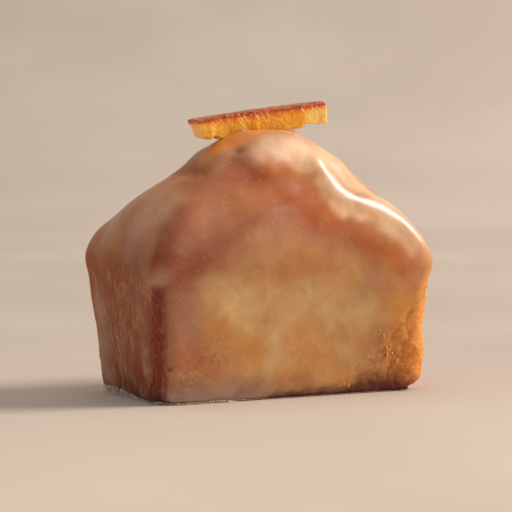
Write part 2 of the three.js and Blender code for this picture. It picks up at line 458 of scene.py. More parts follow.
# %% [markdown]
# ## The glaze
# Warm sugar glaze was poured over the loaf and set as a thin, slightly milky skin. A closed
# shell could be drawn from nothing, but the form is there already: a copy of it is cut away at
# the bare patches, its rim is pressed under the crust, and Solidify closes it. The inner wall lies
# deeper than real glaze would, out of sight in the crumb, so that light can wander in it as far as
# it does in glaze and crumb together.

# %% Lay the glaze over the form
glaze = copy_mesh(form, "glaze_coat")
glaze_points = read_points(glaze)
glaze_normals = read_normals(glaze)
glaze_bare = bare_depth(glaze_points, glaze_normals)
CUT = 0.9
INNER_WALL = 2.6
RIM_PRESS = 0.55
GLAZE_RISE = 0.12
GLAZE_LOWEST = 0.03
deselect_mesh(glaze, "VERT")
glaze.data.vertices.foreach_set("select", glaze_bare > CUT)
bpy.ops.object.mode_set(mode="EDIT")
bpy.ops.mesh.delete(type="VERT")
bpy.ops.object.mode_set(mode="OBJECT")
kept = glaze_bare <= CUT
glaze_points, glaze_normals, glaze_bare = glaze_points[kept], glaze_normals[kept], glaze_bare[kept]
cover = step(-glaze_bare, -0.9, 3.0)
thick = GLAZE_RISE + 0.1 * swells(glaze_points, 6, 41)
glaze_lift = -RIM_PRESS * (1 - cover) + thick * cover
glaze_points = glaze_points + glaze_normals * glaze_lift[:, None]
glaze_points[:, 2] = np.maximum(glaze_points[:, 2], GLAZE_LOWEST)
write_points(glaze, glaze_points)
apply_modifier(glaze, "SOLIDIFY", thickness=INNER_WALL * MM, offset=-1)
pick(glaze)
bpy.ops.object.shade_smooth()
print("glaze_coat:", len(glaze.data.polygons), "faces")

# %% [markdown]
# ## The stick of candied peel
# A strip cut from thick orange peel and boiled in syrup: a dark rind along the top, amber pith
# below that turned clear, a ragged underside and two cut ends. A box is cut to its size, given
# an even skin, and shaped in its own straight frame before it is tilted onto the crown.

# %% Cut the stick
PEEL_LENGTH = 41.2
PEEL_WIDTH = 6.6
PEEL_DEPTH = 6.4
PEEL_PITCH = math.radians(-6.9)
PEEL_MIDDLE = Vector((-0.6, 0, 75.75)) * MM
PEEL_STEP = 0.22
bpy.ops.object.select_all(action="DESELECT")
bpy.ops.mesh.primitive_cube_add(size=1)
peel = bpy.context.object
peel.name = "peel_stick"
peel.data.name = "peel_stick"
peel.data.transform(Matrix.Diagonal((PEEL_LENGTH * MM, PEEL_WIDTH * MM, PEEL_DEPTH * MM, 1)))
bpy.ops.object.mode_set(mode="EDIT")
bpy.ops.mesh.select_all(action="SELECT")
bpy.ops.mesh.bevel(offset=0.4 * MM, segments=3, affect="EDGES")
bpy.ops.object.mode_set(mode="OBJECT")
apply_modifier(peel, "REMESH", mode="VOXEL", voxel_size=PEEL_STEP * MM)
apply_modifier(peel, "SMOOTH", factor=0.5, iterations=3)
print("stick:", len(peel.data.polygons), "faces")

# %% Shape its ragged underside and ends
peel_points = read_points(peel)
peel_flat = peel_points.copy()
u, v, w = peel_points.T
half_length, half_depth = PEEL_LENGTH / 2, PEEL_DEPTH / 2
under = step(-w, 0.2, half_depth)
bottom_line = np.interp(u, (-20, -17.5, -15.3, -13, -9, -3, 4, 9, 11.5, 13.0, 13.6, 16, 20),
                        (1.0, 0.4, 1.1, 0.0, -0.5, -0.5, -0.2, 0.1, -0.3, 0.2, 1.2, 0.7, 0.2))
bottom_line = bottom_line + 0.14 * swells(peel_flat, (1.6, 1.5, 9), 51)
bottom_line = bottom_line + 0.1 * swells(peel_flat, (0.7, 0.8, 9), 52)
w = w + under * bottom_line
u = u + step(-u, half_length - 5, half_length) * (half_depth - w) * 0.38
u = u + step(abs(u), half_length - 3, half_length) * 0.25 * swells(peel_flat, (9, 2, 1.2), 53)
w = w + 0.35 * np.sin((u + 20) / 40 * math.pi) + 0.14 * swells(peel_flat, (4, 9, 9), 54)
w = w + 0.25 * step(w, 1, half_depth) * (1 - (v / 3.5) ** 2)
w = w + step(w, 1, half_depth) * 0.12 * swells(peel_flat, (0.9, 0.9, 9), 59)
v = v + 0.3 * swells(peel_flat, (5, 9, 9), 60) + 0.15 * swells(peel_flat, (1.8, 9, 9), 61)
write_points(peel, np.column_stack((u, v, w)))
apply_modifier(peel, "SMOOTH", factor=0.5, iterations=7)
print("underside moved, mm:", bottom_line.min().round(2), "to", bottom_line.max().round(2))

# %% Raise the oil glands, a drop of syrup and the grain of the flesh
GLAND_HEIGHT = 0.15
GLAND_LEAN = 0.42
GLAND_CURVE = 1.35
peel_points = read_points(peel)
peel_normals = read_normals(peel)
on_side = step(abs(peel_normals[:, 1]), 0.3, 0.8)
rind = step(peel_flat[:, 2], 1.7, 2.7)
dice = np.random.default_rng(58)
depth_down = half_depth - peel_flat[:, 2]
glands = np.zeros(len(peel_points))
gland_wave = 0.45 * swells(peel_flat, (2.2, 9, 1.1), 62)
gland_gaps = step(swells(peel_flat, (1.2, 9, 0.8), 64), -0.7, 0.0) * 0.6 + 0.4
gland_place = -half_length + 1.2
while gland_place < half_length - 0.6:
    gland_long = dice.uniform(1.2, 4.2)
    gland_side = dice.choice((-1, 1)) if dice.random() < 0.2 else 0
    lean = gland_place + GLAND_LEAN * np.maximum(depth_down, 0) ** GLAND_CURVE + gland_wave
    line = step(-abs(peel_flat[:, 0] - lean), -0.3, -0.05)
    line = line * step(depth_down, 0.35, 0.9) * step(-depth_down, -gland_long - 0.6, -gland_long + 0.4)
    line = line * np.where(peel_normals[:, 1] * gland_side < -0.3, 0, 1) * dice.uniform(0.4, 1.0)
    glands = np.maximum(glands, line * on_side * gland_gaps)
    gland_place += dice.uniform(0.9, 2.5)
skin = 0.08 * swells(peel_flat, 0.9, 55) + 0.06 * swells(peel_flat, 0.45, 56)
flesh = 0.06 * swells(peel_flat, 1.8, 57) * (1 - rind)
DROP_PATH = [(-7.6, -3.3, 0.2), (-7.2, -3.3, -2.4)]
drop = 0.3 * step(-distance_to_path(peel_flat, DROP_PATH), -2.2, -0.7)
lift = skin + flesh + GLAND_HEIGHT * glands + drop
write_points(peel, peel_points + peel_normals * lift[:, None])
print("glands and drop, mm:", lift.min().round(2), "to", lift.max().round(2))

# %% Record where the rind and the glands are, then tilt the stick onto the crown
def store(obj, name, values):
    """Keeps one number for each vertex, for the material to read."""
    attribute = obj.data.attributes.new(name, "FLOAT", "POINT")
    attribute.data.foreach_set("value", np.asarray(values, dtype=np.float32))


store(peel, "along", peel_flat[:, 0])
store(peel, "depth", depth_down)
store(peel, "glands", glands)
peel.data.transform(Matrix.Translation(PEEL_MIDDLE) @ Matrix.Rotation(PEEL_PITCH, 4, "Y"))
pick(peel)
bpy.ops.object.shade_smooth()
peel_points = read_points(peel)
print("peel_stick box, mm:", peel_points.min(0).round(2), peel_points.max(0).round(2))

# %% [markdown]
# ## The foot of the glaze
# Glaze ran down the left end and the left half of the front and set on the table as a thin
# rim. A torus laid round the base gives the loops; each ring is then moved to the wall, as high
# and as far out as the glaze ran there.

# %% Run a rim of glaze round the base
RINGS = 256
LOOP = 10
bpy.ops.object.select_all(action="DESELECT")
bpy.ops.mesh.primitive_torus_add(major_segments=RINGS, minor_segments=LOOP,
                                 major_radius=30 * MM, minor_radius=4 * MM)
foot = bpy.context.object
foot.name = "glaze_foot"
foot.data.name = "glaze_foot"
print("torus:", len(foot.data.vertices), "points")

# %% Find the wall of the loaf beside each ring
BASE_X, BASE_Y, BASE_CORNER = 40.3, 20.3, 5.0
LEVELS = (0.5, 1.5, 2.5, 3.5, 4.5)


def base_outline(turn):
    """Place and outward direction on the base outline, a rounded rectangle, for a part of a turn."""
    straight_x, straight_y = 2 * (BASE_X - BASE_CORNER), 2 * (BASE_Y - BASE_CORNER)
    arc = math.pi / 2 * BASE_CORNER
    way = (turn % 1) * (2 * straight_x + 2 * straight_y + 4 * arc)
    corner_x, corner_y = BASE_X - BASE_CORNER, BASE_Y - BASE_CORNER
    sides = [(straight_y, (1, 0), (corner_x, -corner_y), (0, 1)),
             (straight_x, (0, 1), (corner_x, corner_y), (-1, 0)),
             (straight_y, (-1, 0), (-corner_x, corner_y), (0, -1)),
             (straight_x, (0, -1), (-corner_x, -corner_y), (1, 0))]
    for length, out, start, along in sides:
        if way <= length:
            place = [start[i] + along[i] * way + out[i] * BASE_CORNER for i in (0, 1)]
            return np.array(place), np.array(out, float)
        way -= length
        if way <= arc:
            angle = math.atan2(out[1], out[0]) + way / BASE_CORNER
            out = np.array((math.cos(angle), math.sin(angle)))
            pivot = np.array([start[i] + along[i] * length for i in (0, 1)])
            return pivot + out * BASE_CORNER, out
        way -= arc
    return base_outline(0)


ring_turns = np.arange(RINGS) / RINGS
ring_places = np.array([np.concatenate(base_outline(turn)) for turn in ring_turns])
place_x, place_y, out_x, out_y = ring_places.T
walls = np.empty((RINGS, len(LEVELS)))
for k, level in enumerate(LEVELS):
    level_points = form_points[abs(form_points[:, 2] - level) < 0.6]
    for i in range(RINGS):
        away = level_points[:, :2] - ring_places[i, :2]
        beside = abs(away @ (-out_y[i], out_x[i])) < 1.2
        walls[i, k] = (away[beside] @ ring_places[i, 2:]).max()
print("wall beyond the base outline, mm:", walls.min().round(2), "to", walls.max().round(2))

# %% Move the rings to the wall
RIM_HEIGHT = 0.4
LEFT_END_HEIGHT = 1.6
RIM_REACH = 1.7
ON_TABLE = 0.03
spots = np.column_stack((place_x, place_y, np.zeros(RINGS)))
amount = step(-place_x, 6, 24) * step(-place_y, -24, 16)
amount = np.maximum(amount, step(-place_x, 34, 39))
amount = np.maximum(amount, 0.55 * step(swells(spots, 14, 61), 0.1, 0.5) * step(place_y, 0, 14))
jag = 1 + 0.5 * swells(spots, 3.2, 62) + 0.25 * swells(spots, 1.6, 63)
end_side = step(-out_x, 0.2, 0.9) * step(place_y, -6, 5)
height = 0.2 + amount * (RIM_HEIGHT + LEFT_END_HEIGHT * end_side) * jag
front_side = step(-out_y, 0.3, 0.9)
wavy = 0.4 * swells(spots, 5, 64) + 0.3 * swells(spots, 1.8, 65)
reach = walls[:, 0] - 1.0 + amount * (RIM_REACH + 0.1 * front_side + wavy)


def beside_wall(i, share, gap):
    """A point of ring i at a share of its height, a gap away from the wall."""
    upwards = share * height[i]
    return np.interp(upwards, LEVELS, walls[i]) + gap * amount[i] - 0.1, upwards + 0.1


foot_points = []
for i in range(RINGS):
    inner = walls[i, 0] - 1.6
    profile = [(inner - 1.0, ON_TABLE), (inner + 0.5, ON_TABLE), (reach[i] + 0.1, ON_TABLE),
               (reach[i], 0.13), (reach[i] - 0.25, 0.3), beside_wall(i, 0.35, 0.5),
               beside_wall(i, 0.7, 0.3), beside_wall(i, 1.0, 0.08), beside_wall(i, 1.0, -0.9),
               (inner - 0.8, 0.5 * height[i])]
    for outwards, upwards in profile:
        foot_points.append((place_x[i] + out_x[i] * outwards, place_y[i] + out_y[i] * outwards, upwards))
write_points(foot, np.array(foot_points))
pick(foot)
bpy.ops.object.mode_set(mode="EDIT")
bpy.ops.mesh.select_all(action="SELECT")
bpy.ops.mesh.normals_make_consistent(inside=False)
bpy.ops.object.mode_set(mode="OBJECT")
bpy.ops.object.shade_smooth()
print("glaze_foot:", len(foot.data.polygons), "faces")

# %% [markdown]
# ## Beads of glaze on the crust
# Low on the right the last glaze stayed as tiny clear beads on the crumb. They could be bumps of
# the shader, but only real round drops catch the lamp as points of light.

# %% Set the beads
BEADS = [
    # place, radius, all in mm
    ((27.4, -22.1, 16.0), 0.45), ((27.9, -22.0, 14.8), 0.3), ((28.7, -21.6, 12.6), 0.45),
    ((29.8, -21.5, 13.2), 0.35), ((28.9, -21.5, 10.6), 0.5), ((30.6, -21.4, 10.9), 0.35),
    ((32.3, -21.2, 8.6), 0.55), ((31.4, -21.3, 9.8), 0.3), ((16.8, -20.9, 2.6), 0.4),
    ((15.6, -20.9, 2.9), 0.3), ((26.4, -22.0, 17.5), 0.3), ((24.9, -21.9, 15.6), 0.25),
]
BEAD_FORM = (0.8, 0.7, 1.5)  # half its width, depth and height, in radii
beads = []
for bead_place, radius in BEADS:
    bpy.ops.object.select_all(action="DESELECT")
    bpy.ops.mesh.primitive_ico_sphere_add(subdivisions=3, radius=1)
    bead = bpy.context.object
    bead.data.transform(Matrix.Diagonal((*(radius * MM * share for share in BEAD_FORM), 1)))
    bead.data.transform(Matrix.Translation(Vector(bead_place) * MM))
    beads.append(bead)
for bead in beads:
    bead.select_set(True)
bpy.context.view_layer.objects.active = beads[0]
bpy.ops.object.join()
drops = bpy.context.object
drops.name = "glaze_beads"
drops.data.name = "glaze_beads"
bpy.ops.object.shade_smooth()
print("glaze_beads:", len(drops.data.polygons), "faces")

# %% [markdown]
# ## Writing materials as sums
# A material is a tree of small nodes. Written one by one they hide what they mean, so a small
# class wraps a socket and lets masks be added and multiplied like numbers; one method adds any
# other node.

# %% A class for sums of sockets
class Socket:
    """One value inside a material."""

    def __init__(self, tree, socket):
        self.tree = tree
        self.socket = socket

    def node(self, kind, settings, inputs, output=0):
        """Adds any node: its settings first, then values or links for its sockets."""
        new = self.tree.nodes.new(kind)
        for name, value in settings.items():
            setattr(new, name, value)
        for name, value in inputs.items():
            if isinstance(value, Socket):
                self.tree.links.new(value.socket, new.inputs[name])
            else:
                new.inputs[name].default_value = value
        return Socket(self.tree, new.outputs[output])

    def maths(self, operation, first, second):
        """One step of arithmetic, which the signs below use."""
        return self.node("ShaderNodeMath", {"operation": operation}, {0: first, 1: second})

    def __add__(self, other):
        return self.maths("ADD", self, other)

    def __radd__(self, other):
        return self.maths("ADD", other, self)

    def __sub__(self, other):
        return self.maths("SUBTRACT", self, other)

    def __rsub__(self, other):
        return self.maths("SUBTRACT", other, self)

    def __mul__(self, other):
        return self.maths("MULTIPLY", self, other)

    def __rmul__(self, other):
        return self.maths("MULTIPLY", other, self)

    def ramp(self, low, high):
        """Rises smoothly from 0 at low to 1 at high."""
        return self.node("ShaderNodeMapRange", {"interpolation_type": "SMOOTHSTEP"},
                         {"Value": self, "From Min": low, "From Max": high})

    def mix(self, first, second):
        """Goes from the first colour to the second as this value goes from 0 to 1."""
        return self.node("ShaderNodeMix", {"data_type": "RGBA"}, {0: self, 6: first, 7: second}, 2)


# %% Helpers on top of it
def start_material(name):
    """A new material, its shader, and a place in mm on the object."""
    material = bpy.data.materials.new(name)
    material.use_nodes = True
    tree = material.node_tree
    shader = tree.nodes["Principled BSDF"]
    coordinates = tree.nodes.new("ShaderNodeTexCoord")
    place = Socket(tree, coordinates.outputs["Object"])
    place = place.node("ShaderNodeVectorMath", {"operation": "SCALE"}, {0: place, "Scale": 1000})
    return material, shader, place


def vector_maths(place, operation, numbers, output=0):
    """A place or a colour worked out with three numbers."""
    return place.node("ShaderNodeVectorMath", {"operation": operation}, {0: place, 1: numbers}, output)


def stretch(place, x, y, z):
    """The place in a grid that is x, y and z mm wide."""
    return vector_maths(place, "DIVIDE", (x, y, z))


def noise(place, size, detail=2.0, warp=0.0, shift=0.0):
    """Cloudy values round 0.5 with spots about as wide as size, in mm."""
    moved = vector_maths(place, "ADD", (shift, 2 * shift, 3 * shift))
    return place.node("ShaderNodeTexNoise", {},
                      {"Vector": moved, "Scale": 1 / size, "Detail": detail, "Distortion": warp})


def dots(place, size, shift=0.0):
    """Distance from the nearest of many scattered points, in parts of their spacing."""
    moved = vector_maths(place, "ADD", (shift, shift, -shift))
    return place.node("ShaderNodeTexVoronoi", {}, {"Vector": moved, "Scale": 1 / size})


def dot_numbers(place, size, shift=0.0):
    """A random number for the same scattered points."""
    moved = vector_maths(place, "ADD", (shift, shift, -shift))
    colour = place.node("ShaderNodeTexVoronoi", {}, {"Vector": moved, "Scale": 1 / size}, 1)
    return place.node("ShaderNodeSeparateXYZ", {}, {0: colour}, 0)


def read(place, name):
    """A number stored on the mesh."""
    return place.node("ShaderNodeAttribute", {"attribute_name": name}, {}, 2)


def bump(place, height, strength, distance):
    """Small relief from a height."""
    return place.node("ShaderNodeBump", {},
                      {"Height": height, "Strength": strength, "Distance": distance * MM})


def connect(shader, name, value):
    """Links a value to a socket of the shader."""
    value.tree.links.new(value.socket, shader.inputs[name])


def finished(material):
    """Says how many nodes a finish took, and gives it back."""
    print(material.name, "has", len(material.node_tree.nodes), "nodes")
    return material


# %% [markdown]
# ## Painting the loaf
# What shows through the glaze is crust that browned unevenly: golden on the flat front, redder on
# the dome and at the corners. Light and shade are painted in too: painted shade in the hollows and
# along the bottom edge of the front, painted glow on the crown, along the lit shoulder and under the
# peel. Where the glaze lies thick it turns milky. These large areas are painted on the vertices with
# the same kind of strokes, and the material adds the fine cloudiness.

# %% Colours of the crust, seen through clear glaze
def linear(red, green, blue):
    """A colour given as on a screen, 0 to 255, as the light values that a shader needs."""
    def one(value):
        value = value / 255
        return value / 12.92 if value <= 0.04045 else ((value + 0.055) / 1.055) ** 2.4
    return (one(red), one(green), one(blue), 1)


TAN = linear(214, 167, 112)
HONEY = linear(228, 190, 136)
AMBER = linear(218, 146, 64)
ROSE = linear(190, 125, 94)
RUST = linear(194, 106, 42)
UMBER = linear(158, 68, 26)
COCOA = linear(120, 50, 24)
DOME = linear(196, 134, 90)
MILK = linear(210, 170, 144)
LILAC = linear(168, 120, 102)
END = linear(170, 97, 58)
PEACH_GLOW = linear(244, 192, 142)
PEARL_SHEEN = linear(248, 206, 166)
CREAM = linear(246, 212, 154)
SYRUP_GLOW = linear(238, 140, 40)
SIDE = linear(190, 120, 68)
ASH = linear(190, 160, 148)
MAUVE = linear(146, 92, 72)

# %% Dabs of colour
FRONT_DABS = [
    # colour, path along x and z on the front, radius, strength
    (ROSE, [(-38, 30), (-36, 14)], 14, 0.8),
    (UMBER, [(-42, 41), (-34, 38), (-26, 41)], 12, 0.88),
    (UMBER, [(-40, 33), (-36, 31)], 6, 0.3),
    (RUST, [(-22, 43), (-8, 48), (2, 52)], 11, 0.6),
    (AMBER, [(-26, 21), (-18, 17), (-13, 14)], 8, 0.75),
    (RUST, [(-33, 13), (-25, 10)], 8, 0.5),
    (COCOA, [(-37, 4.5), (-30, 4)], 4.5, 0.5),
    (CREAM, [(-26, 30), (-22, 27), (-17, 22)], 8.5, 0.4),
    (CREAM, [(-24.5, 28.5), (-20.5, 24.5)], 1.8, 0.5),
    (CREAM, [(-20.5, 29), (-24.5, 24.5)], 1.8, 0.35),
    (HONEY, [(-16, 30), (-4, 33), (6, 30)], 8, 0.5),
    (HONEY, [(-2, 22), (10, 26), (20, 22)], 8, 0.4),
    (HONEY, [(14, 34), (24, 27), (30, 22)], 8, 0.45),
    (AMBER, [(-4, 6), (8, 9)], 8, 0.6),
    (AMBER, [(-2, 16), (6, 15)], 6, 0.5),
    (RUST, [(8, 51), (16, 45), (24, 41), (36, 37)], 12, 0.85),
    (UMBER, [(8.5, 50), (14, 45), (24, 40)], 7.5, 0.4),
    (RUST, [(-12, 38), (-4, 33)], 6, 0.3),
    (ROSE, [(24, 32), (32, 29), (38, 29)], 7, 0.45),
    (AMBER, [(33, 24), (37, 10)], 13, 0.95),
    (RUST, [(24, 13), (34, 10)], 9, 0.45),
    (LILAC, [(20, 5), (28, 6), (36, 4)], 5, 0.35),
    (COCOA, [(21, 0.5), (28, 1.5), (35, 1.5)], 7, 0.9),
    (ASH, [(22, 1.5), (25, 2.5)], 2.5, 0.35),
    (ASH, [(31, 2.5), (34, 2)], 2.5, 0.35),
    (HONEY, [(-8, 19), (-7.5, 6)], 3.6, 0.7),
    (ASH, [(-41, 0), (-20, 1.0), (-10, -1)], 7.5, 0.85),
    (ASH, [(-38, 1), (-32, 2.5)], 4, 0.5),
    (ASH, [(-20, 2), (-14, 3.5)], 4, 0.4),
    (ASH, [(-10, -1), (8, -2)], 5.5, 0.7),
    (LILAC, [(-34, 27), (-32, 20)], 5, 0.35),
    (COCOA, [(-37.6, 10.9)], 1.1, 0.9),
    (RUST, [(-1, 50), (8, 49)], 8, 0.5),
    (RUST, [(2, 44), (9, 43)], 7, 0.4),
    (AMBER, [(-3, 38), (9, 38)], 8, 0.5),
    (AMBER, [(10, 32), (16, 32)], 7, 0.4),
    (AMBER, [(-11, 33), (-8, 31)], 6, 0.35),
    (AMBER, [(-23, 22), (-21, 20)], 5, 0.6),
    (UMBER, [(-43, 33), (-39, 33)], 5, 0.3),
    (MAUVE, [(-34, 4), (-16, 5), (3, 4)], 5, 0.3),
    # painted shade: the lowest millimetres of the front darkened, as the contact shade along the table
    (MAUVE, [(-41, -1.5), (4, -1.5)], 3.5, 0.4),
    (COCOA, [(-24, -0.8), (12, -1)], 3.0, 0.6),
    (UMBER, [(-18, 3), (-12, 3.5)], 2.5, 0.3),
    (AMBER, [(14, 4), (18, 5)], 5, 0.6),
    (UMBER, [(0, 50), (10, 48.5)], 6.5, 0.4),
    (UMBER, [(3, 44), (9, 42)], 6, 0.3),
    (RUST, [(-4, 38), (10, 37.5)], 7, 0.45),
]
LEFT_END_DABS = [
    # colour, path along y and z on the left end, radius, strength
    (LILAC, [(-19, 34), (-14, 38), (-8, 42)], 7, 0.7),
    (ROSE, [(4, 44), (16, 42)], 5, 0.5),
    (RUST, [(18, 38), (16, 6)], 5, 0.45),
    (LILAC, [(-14, 30), (-12.5, 10)], 4.5, 0.7),
    (COCOA, [(-14, 2), (14, 3)], 8, 0.8),
    (UMBER, [(2, 17), (-4, 10), (-10, 8)], 4, 0.6),
    (LILAC, [(13, 28), (12, 4)], 6, 0.6),
    (MILK, [(15, 24), (14, 6)], 6, 0.6),
]
SPACE_DABS = [
    # colour, path in space, radius, strength
    (MILK, [(-42, -10, 46), (-34, -12, 52)], 10, 0.3),
    # painted sheen: a soft pale patch on the left slope of the dome
    (PEARL_SHEEN, [(-37, -5, 50.5), (-37, -13, 48.5), (-33, -14, 52)], 9, 0.4),
    (ROSE, [(-28, -14, 56), (-22, -14, 60)], 8, 0.5),
    # painted highlight: the broad pale glow on the crown, and glow down the lit right slope and shoulder
    (PEARL_SHEEN, [(-6, -13, 68), (3, -13.5, 68), (9, -14.5, 66.5)], 10, 0.7),
    (PEARL_SHEEN, [(2, -14.5, 67.8), (8.0, -16.0, 65.5)], 6.5, 0.95),
    (PEACH_GLOW, [(12, -8, 69), (16, -12, 64), (28, -16, 55), (40, -18, 44)], 8, 0.85),
    (PEACH_GLOW, [(10, -15, 66), (12, -19, 56)], 5, 0.8),
    (RUST, [(-18, -16, 61), (-6, -18.5, 60), (5, -19.5, 59)], 10, 0.65),
    (RUST, [(-28, -18, 53), (-14, -19, 57)], 8, 0.15),
    # painted shade: darker in the large dimple
    (UMBER, [(-14.5, -14, 65.3), (-10.5, -17.5, 62.3), (-3, -18.4, 61.5)], 5.5, 0.6),
    (UMBER, [(-12.0, -15.6, 64.0)], 4.5, 0.3),
    (AMBER, [(-3, -17.7, 63), (5, -18.2, 61.4)], 7, 0.5),
    # painted shade: the pocket beside the mound, in the mound's shadow
    (UMBER, [(-24.0, -9, 61.5), (-23.5, 5, 62.5)], 6.5, 0.7),
    # painted shade: darker in the small dimple
    (UMBER, [(-12.8, -10.7, 68.3)], 2.8, 0.65),
    (MILK, [(-42, -22, 34.5), (-44.5, -19, 33)], 4.5, 0.6),
    # painted shade: darker bands along both sides of the fold
    (UMBER, [(x, y, z - 1.8) for x, y, z in FOLD[1:5]], 4.5, 0.45),
    (UMBER, [(x, y + 0.6, z + 1.8) for x, y, z in FOLD[1:5]], 3.0, 0.2),
    (RUST, [(-42, -13, 44), (-40, -16, 41)], 7, 0.45),
    (RUST, [(-36, -17.5, 47.5), (-30, -19, 51)], 8, 0.55),
    (RUST, [(-31, -14, 55), (-26, -16, 57.5)], 7, 0.45),
    (UMBER, [(-27, -13, 60), (-10, -18, 61), (2, -19, 60)], 8, 0.3),
    (RUST, [(-16, -18.4, 60), (-3, -18.8, 60.5)], 8, 0.4),
    (UMBER, [(-6, -20.5, 57.5), (3, -20.5, 57)], 8, 0.35),
    (RUST, [(-5.5, -16, 65.5)], 5, 0.6),
    (UMBER, [(-12, -17, 61.5), (-9, -20, 56)], 5.5, 0.35),
    # painted highlight: pale glow at the front of the crown and just under the shoulder
    (PEARL_SHEEN, [(2, -16, 66), (8, -16.5, 64.8)], 4.5, 0.7),
    (PEACH_GLOW, [(11, -21.5, 56.5), (14, -22.3, 53)], 5.0, 0.7),
    (UMBER, [(-36, -19, 46), (-33, -18, 51)], 7.5, 0.7),
    # painted highlight: a pale band along and below the shoulder line, widening its highlight
    (PEACH_GLOW, [(16.4, -21.6, 52.8), (20.6, -22.0, 51.5), (27.2, -22.2, 49), (33.2, -22.8, 45.5),
             (37.3, -23.7, 41.5), (40.4, -24, 38.5)], 4, 0.65),
    (PEARL_SHEEN, [(9.5, -18.5, 60.6), (12.5, -20, 57), (15.5, -21, 53.6), (20, -21.4, 52)], 4.2, 0.9),
    (RUST, [(-9, -20.5, 55), (-3, -21, 54)], 6, 0.45),
    (DOME, [(-21, -18, 56), (-13, -19.5, 57)], 6.5, 0.5),
    (UMBER, [(-14, -18, 61), (-11, -18.5, 60.5)], 5.5, 0.7),
    # painted highlight: a brighter band below the shoulder near the right end
    (PEARL_SHEEN, [(29, -22.6, 47), (33, -23.1, 44), (36.5, -23.5, 41.8)], 4.2, 0.65),
    (RUST, [(-4, -21.3, 54), (4, -21.8, 51), (9, -22.5, 49)], 6, 0.6),
    (UMBER, [(-4, -21, 54.5), (4, -22, 50.5)], 5, 0.4),
    # painted glow: orange light coming through the peel onto the crown, over a little syrup that seeped
    # out
    (SYRUP_GLOW, [(-19, -5, 66), (-12, -6.5, 70), (-6, -7, 71.8), (4, -5, 73)], 5, 0.8),
]
print("dabs of colour:", len(FRONT_DABS) + len(LEFT_END_DABS) + len(SPACE_DABS))

# %% Paint them, with soft wandering edges
EDGE_WANDER = 1.5


def blend_in(colours, colour, amount):
    """Airbrushes one colour over what is there."""
    amount = np.clip(amount, 0, 1)[:, None]
    return colours * (1 - amount) + np.array(colour) * amount


def spray(colours, dabs, places, mask):
    """Airbrushes a list of dabs, only where the mask lets them."""
    for colour, path, radius, strength in dabs:
        colours = blend_in(colours, colour, strength * near_path(places, path, radius) * mask)
    return colours


def wander(points):
    """The same places moved softly about, so that what is painted there has no straight edge."""
    moves = [swells(points, 6, 80 + i) + 0.5 * swells(points, 3, 83 + i) for i in (0, 1, 2)]
    return points + EDGE_WANDER * np.column_stack(moves)


def facing(normals):
    """How much each vertex faces the left, the right, the front and the back, from 0 to 1."""
    return (step(-normals[:, 0], 0.55, 0.85), step(normals[:, 0], 0.55, 0.85),
            step(-normals[:, 1], 0.2, 0.5), step(normals[:, 1], 0.3, 0.7))


def paint(obj):
    """Stores the large areas of colour on a mesh."""
    points = read_points(obj)
    normals = read_normals(obj)
    moved = wander(points)
    x, y, z = moved.T
    colours = np.tile(np.array(TAN), (len(points), 1))
    faces_left, faces_right, faces_front, faces_back = facing(normals)
    above_rim = step(z, 36, 48)
    patches = swells(points, 9, 71) + 0.5 * swells(points, 4, 72)
    colours = blend_in(colours, SIDE, 0.6 * faces_back * step(patches, -0.4, 0.5))
    colours = blend_in(colours, AMBER, 0.7 * faces_back * step(-patches, 0.1, 0.7))
    colours = blend_in(colours, RUST, 0.6 * (1 - faces_left) * step(abs(x), 30, 42) * (y > 0))
    colours = blend_in(colours, DOME, above_rim * step(normals[:, 2], 0.1, 0.42))
    colours = blend_in(colours, DOME, 0.6 * above_rim * faces_back)
    browned = above_rim * (1 - faces_front) * step(patches, 0.1, 0.7) * (y > -12)
    colours = blend_in(colours, RUST, 0.5 * browned)
    colours = blend_in(colours, END, faces_left * (1 - above_rim))
    colours = blend_in(colours, SIDE, faces_right * (1 - above_rim))
    colours = spray(colours, FRONT_DABS, moved[:, [0, 2]], faces_front)
    colours = spray(colours, LEFT_END_DABS, moved[:, [1, 2]], faces_left)
    colours = spray(colours, SPACE_DABS, moved, 1)
    hidden_foot = step(-points[:, 2], -5, -1) * np.maximum(faces_back, faces_right)
    colours = blend_in(colours, COCOA, 0.6 * hidden_foot)
    layer = obj.data.color_attributes.new("crust", "FLOAT_COLOR", "POINT")
    layer.data.foreach_set("color", colours.astype(np.float32).ravel())
    return colours


for obj in (body, glaze):
    colours = paint(obj)
    print(obj.name, "is painted, on average", colours.mean(0)[:3].round(3))

# %% Mark where the crust is bare, the crumb shows and the glaze set dull
CRUMB_PLACES = [
    # path, radius
    ([(-36, -22, 5), (-31, -22, 9), (-25, -22, 14)], 7),
    ([(22, -22, 5), (30, -22, 11)], 9),
    ([(14, -22, 2), (40, -21, 2)], 5),
]
DULL_PLACES = [
    # path, radius, share of the gloss that is gone
    # from the front of the crown down under the shoulder
    ([(-7.0, -18.2, 61.5), (1.0, -18.0, 62.5), (4.0, -19.5, 59.5), (6.5, -21.5, 54.5),
      (12.0, -23.0, 48.5), (20.0, -23.5, 44.5), (30.0, -24.0, 39.0)], 8.5, 1.0),
    # along the fold
    ([(-18.0, -21.0, 54.0), (-6.0, -20.8, 56.5), (0.0, -21.2, 54.0), (5.0, -22.0, 50.5)], 9.0, 1.0),
    # in the pocket beside the mound
    ([(-24.0, -9.0, 61.5), (-23.5, 3.0, 62.5)], 7.0, 0.8),
    # on the far side of the shoulder
    ([(14.0, -11.5, 66.8), (18.5, -13.5, 62.3), (26.0, -14.0, 58.0)], 5.5, 0.6),
    # at the top of the shoulder
    ([(5.8, -13.9, 68.2)], 5.0, 0.7),
]


